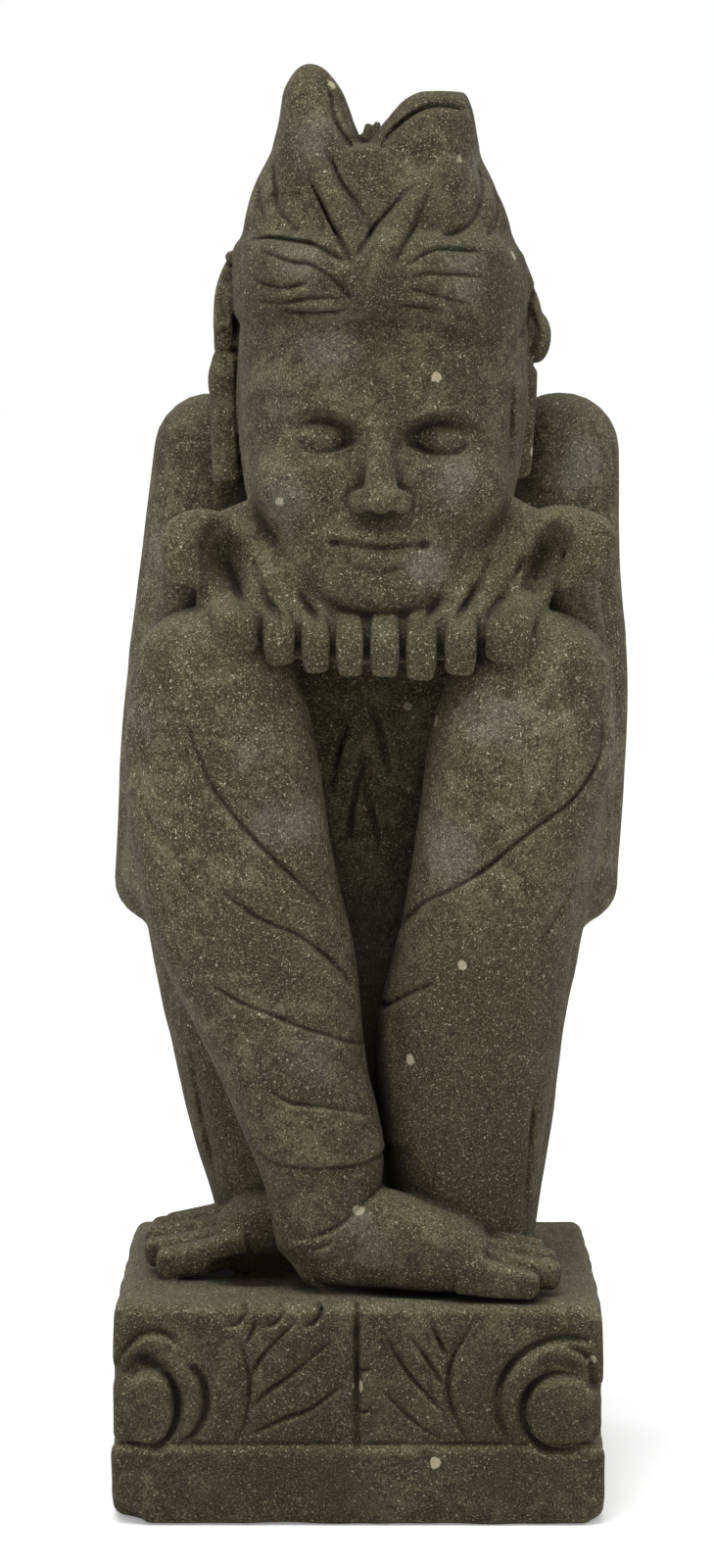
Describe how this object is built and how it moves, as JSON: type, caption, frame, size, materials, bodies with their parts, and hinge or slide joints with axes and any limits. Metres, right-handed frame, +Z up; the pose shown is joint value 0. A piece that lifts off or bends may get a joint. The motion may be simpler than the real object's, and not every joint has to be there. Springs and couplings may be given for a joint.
{
  "type": "squatting stone figure on a carved plinth",
  "caption": "Garden figure squatting with its chin on its hands and its ankles crossed, in a folded headdress, carved with its leaf and scroll plinth from one block of stone.",
  "frame": {"origin": "centre of the plinth's underside", "axes": "+Z up, +X to the viewer's right, +Y away from the viewer, so the figure faces -Y"},
  "size_m": [0.3331, 0.3, 0.912],
  "materials": {
    "volcanic_stone": "chiselled and rubbed dark grey-brown volcanic stone, fine pale grains, worn paler on the high spots"
  },
  "bodies": {
    "root": {"statue": "volcanic_stone"}
  },
  "joints": []
}
